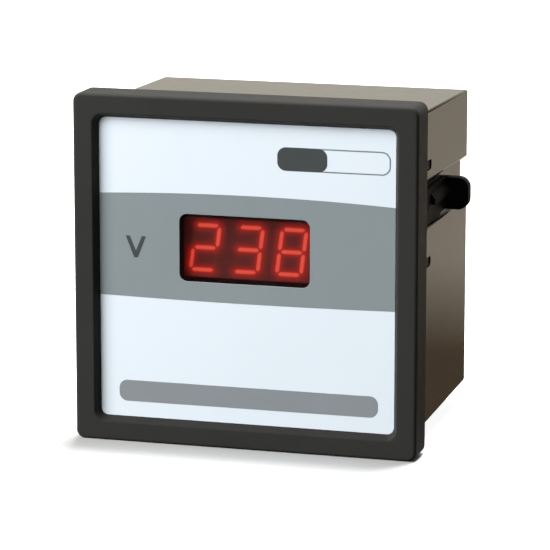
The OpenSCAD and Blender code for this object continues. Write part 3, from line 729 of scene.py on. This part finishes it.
# ---------------------------------------------------------- floor and light
def build_stage():
    zf = cad_lo.z
    bm = bmesh.new()
    s = 3.0
    vs = [bm.verts.new(p) for p in ((-s, -s, zf), (s, -s, zf), (s, s, zf), (-s, s, zf))]
    bm.faces.new(vs)
    me = bpy.data.meshes.new("floor")
    bm.to_mesh(me)
    bm.free()
    floor = bpy.data.objects.new("floor", me)
    scene.collection.objects.link(floor)
    m, nt, b = nodes_of("floor_paper_painted_fill")
    co = nt.nodes.new("ShaderNodeTexCoord").outputs["Object"]
    n = noise(nt, co, 3, 2.0)
    nt.links.new(ramp(nt, n, [(0.3, (0.59, 0.59, 0.59)), (0.7, (0.61, 0.61, 0.61))]), b.inputs["Base Color"])
    b.inputs["Roughness"].default_value = 0.9
    b.inputs["Specular IOR Level"].default_value = 0.2
    sp = nt.nodes.new("ShaderNodeSeparateXYZ")
    nt.links.new(co, sp.inputs[0])
    # painted light: the sheet glows softly from the object's back half onwards, filling in the shadow under the case
    glow = span(nt, sp.outputs[1], 0.0, 0.9, -0.004, 0.012)
    nt.links.new(glow, b.inputs["Emission Strength"])
    b.inputs["Emission Color"].default_value = (1, 1, 1, 1)
    me.materials.append(m)
    floor.visible_diffuse = False

    # painted reflection: a dark sheet on the floor that only reflections see, like a studio's black card; it keeps the
    # gloss on the black plastics low near the floor
    n = 48
    verts = [(0.0, 0.0, zf + 0.0002)]
    for k in range(n):
        a = 2 * math.pi * k / n
        verts.append((2.6 * math.cos(a), 2.6 * math.sin(a), zf + 0.0002))
    me = bpy.data.meshes.new("painted_reflection_sheet")
    me.from_pydata(verts, [], [(0, 1 + k, 1 + (k + 1) % n) for k in range(n)])
    painted_reflection_sheet = bpy.data.objects.new("painted_reflection_sheet", me)
    scene.collection.objects.link(painted_reflection_sheet)
    m, nt, b = nodes_of("painted_reflection_cloth")
    co = nt.nodes.new("ShaderNodeTexCoord").outputs["Object"]
    sp = nt.nodes.new("ShaderNodeSeparateXYZ")
    nt.links.new(co, sp.inputs[0])
    g = span(nt, sp.outputs[1], 0.0, 1.0, -0.6, 0.4)
    # painted reflection bands along Y: grey, then dark warm, then warm; they set how dark and how warm the plastics'
    # gloss looks
    nt.links.new(ramp(nt, g, [(0.0, (0.17, 0.17, 0.165)), (0.45, (0.25, 0.25, 0.245)), (0.60, (0.25, 0.25, 0.245)),
                              (0.63, (0.070, 0.048, 0.030)), (0.72, (0.070, 0.048, 0.030)), (0.86, (0.237, 0.2065, 0.168)),
                              (1.0, (0.237, 0.2065, 0.168))]), b.inputs["Base Color"])
    b.inputs["Roughness"].default_value = 1.0
    b.inputs["Specular IOR Level"].default_value = 0.0
    me.materials.append(m)
    painted_reflection_sheet.visible_camera = False
    painted_reflection_sheet.visible_diffuse = False
    painted_reflection_sheet.visible_shadow = False
    painted_reflection_sheet.visible_transmission = False

    # a soft room: bright behind the object, dim in front of it
    w = bpy.data.worlds.new("studio")
    scene.world = w
    w.use_nodes = True
    nt = w.node_tree
    bg = nt.nodes["Background"]
    tc = nt.nodes.new("ShaderNodeTexCoord")
    sep = nt.nodes.new("ShaderNodeSeparateXYZ")
    nt.links.new(tc.outputs["Generated"], sep.inputs[0])
    back = nt.nodes.new("ShaderNodeMapRange")
    back.interpolation_type = "SMOOTHSTEP"
    for k, v in (("From Min", -0.1), ("From Max", 0.85), ("To Min", 0.06), ("To Max", 0.70)):
        back.inputs[k].default_value = v
    nt.links.new(sep.outputs[1], back.inputs["Value"])
    above = nt.nodes.new("ShaderNodeMapRange")
    for k, v in (("From Min", -0.02), ("From Max", 0.0), ("To Min", 0.08), ("To Max", 1.0)):
        above.inputs[k].default_value = v
    nt.links.new(sep.outputs[2], above.inputs["Value"])
    mul = nt.nodes.new("ShaderNodeMath")
    mul.operation = "MULTIPLY"
    nt.links.new(back.outputs[0], mul.inputs[0])
    nt.links.new(above.outputs[0], mul.inputs[1])
    nt.links.new(mul.outputs[0], bg.inputs[1])
    bg.inputs[0].default_value = (1.0, 0.96, 0.84, 1)

    def area(name, loc, aim, size, power, colour=(1, 1, 1)):
        d = bpy.data.lights.new(name, "AREA")
        d.shape = "RECTANGLE"
        d.size, d.size_y = size
        d.energy = power
        d.color = colour
        o = bpy.data.objects.new(name, d)
        o.location = loc
        o.rotation_mode = "QUATERNION"
        o.rotation_quaternion = (Vector(aim) - Vector(loc)).to_track_quat("-Z", "Y")
        scene.collection.objects.link(o)
        return o

    area("key", (-1.0, -1.0, 0.75), (0, 0, 0), (1.1, 1.5), 49.5)
    d = bpy.data.lights.new("top", "SUN")
    d.energy = 5.8
    d.angle = math.radians(12)
    o = bpy.data.objects.new("top", d)
    o.rotation_mode = "QUATERNION"
    o.rotation_quaternion = Vector((-0.05, -0.17, -1.0)).to_track_quat("-Z", "Y")
    scene.collection.objects.link(o)


build_stage()
